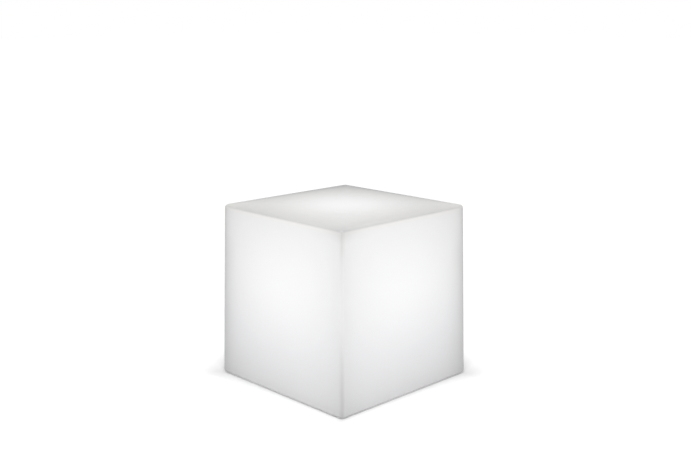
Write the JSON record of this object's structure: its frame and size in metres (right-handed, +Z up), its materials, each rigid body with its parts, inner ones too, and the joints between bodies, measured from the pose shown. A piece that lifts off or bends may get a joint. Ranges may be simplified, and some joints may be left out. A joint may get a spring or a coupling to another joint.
{
  "type": "led cube light",
  "caption": "Glowing white moulded cube lamp for garden or porch, with a sealed rechargeable LED module, push button and hinged socket cover in its base.",
  "frame": {"origin": "on the floor, under the middle of the cube", "axes": "+Z up; +X from the power button towards the charging socket, square to one side of the cube"},
  "size_m": [0.3998, 0.3998, 0.4],
  "materials": {
    "milky_polyethylene": "satin",
    "white_plastic": "satin",
    "white_button": "satin",
    "grey_cover": "matte",
    "black_rubber": "matte",
    "grey_silicone": "matte",
    "vent_plastic": "matte",
    "brass": "satin",
    "stainless_steel": "satin",
    "nickel": "satin",
    "black_plastic": "satin",
    "circuit_board": "satin",
    "chip_black": "matte",
    "connector_white": "satin",
    "tray_plastic": "matte",
    "cell_wrap": "satin",
    "lead_sleeve": "satin",
    "aluminium_board": "satin",
    "led_package": "gloss",
    "opal_plastic": "satin",
    "clear_acrylic": "gloss"
  },
  "bodies": {
    "root": {"cube_shell": "milky_polyethylene", "shell_inserts": "brass", "rubber_feet": "black_rubber", "vent_plug": "vent_plastic", "base_plate": "white_plastic", "base_gasket": "grey_silicone", "flange_screws": "stainless_steel", "charge_light_pipe": "clear_acrylic", "button_seal": "grey_silicone", "push_switch": "black_plastic", "charge_socket": "black_plastic", "socket_seal": "grey_silicone", "socket_nut": "nickel", "cover_pin": "stainless_steel", "control_board": "circuit_board", "board_components": "chip_black", "board_connectors": "connector_white", "board_pillars": "brass", "battery_tray": "tray_plastic", "tray_screws": "stainless_steel", "battery_cells": "cell_wrap", "cell_links": "nickel", "battery_bracket": "tray_plastic", "bracket_screws": "stainless_steel", "socket_leads": "lead_sleeve", "battery_leads": "lead_sleeve", "led_leads": "lead_sleeve", "module_housing": "white_plastic", "housing_seal": "grey_silicone", "housing_screws": "stainless_steel", "led_board": "aluminium_board", "led_emitters": "led_package", "led_board_screws": "stainless_steel", "diffuser_dome": "opal_plastic", "dome_seal": "grey_silicone", "dome_screws": "stainless_steel"},
    "button": {"power_button": "white_button", "button_clip": "stainless_steel", "switch_plunger": "black_plastic"},
    "cover": {"port_cover": "grey_cover", "cover_seal": "grey_silicone"}
  },
  "joints": [
    {"name": "power_button_press", "type": "slide", "parent": "root", "child": "button", "axis": [0, 0, 1], "range_m": [0, 0.0012], "stiffness_N_per_m": 1500, "springref_m": -0.001},
    {"name": "port_cover_hinge", "type": "hinge", "parent": "root", "child": "cover", "pos_m": [0.043, 0, 0.0143], "axis": [0, -1, 0], "range_deg": [0, 120]}
  ]
}
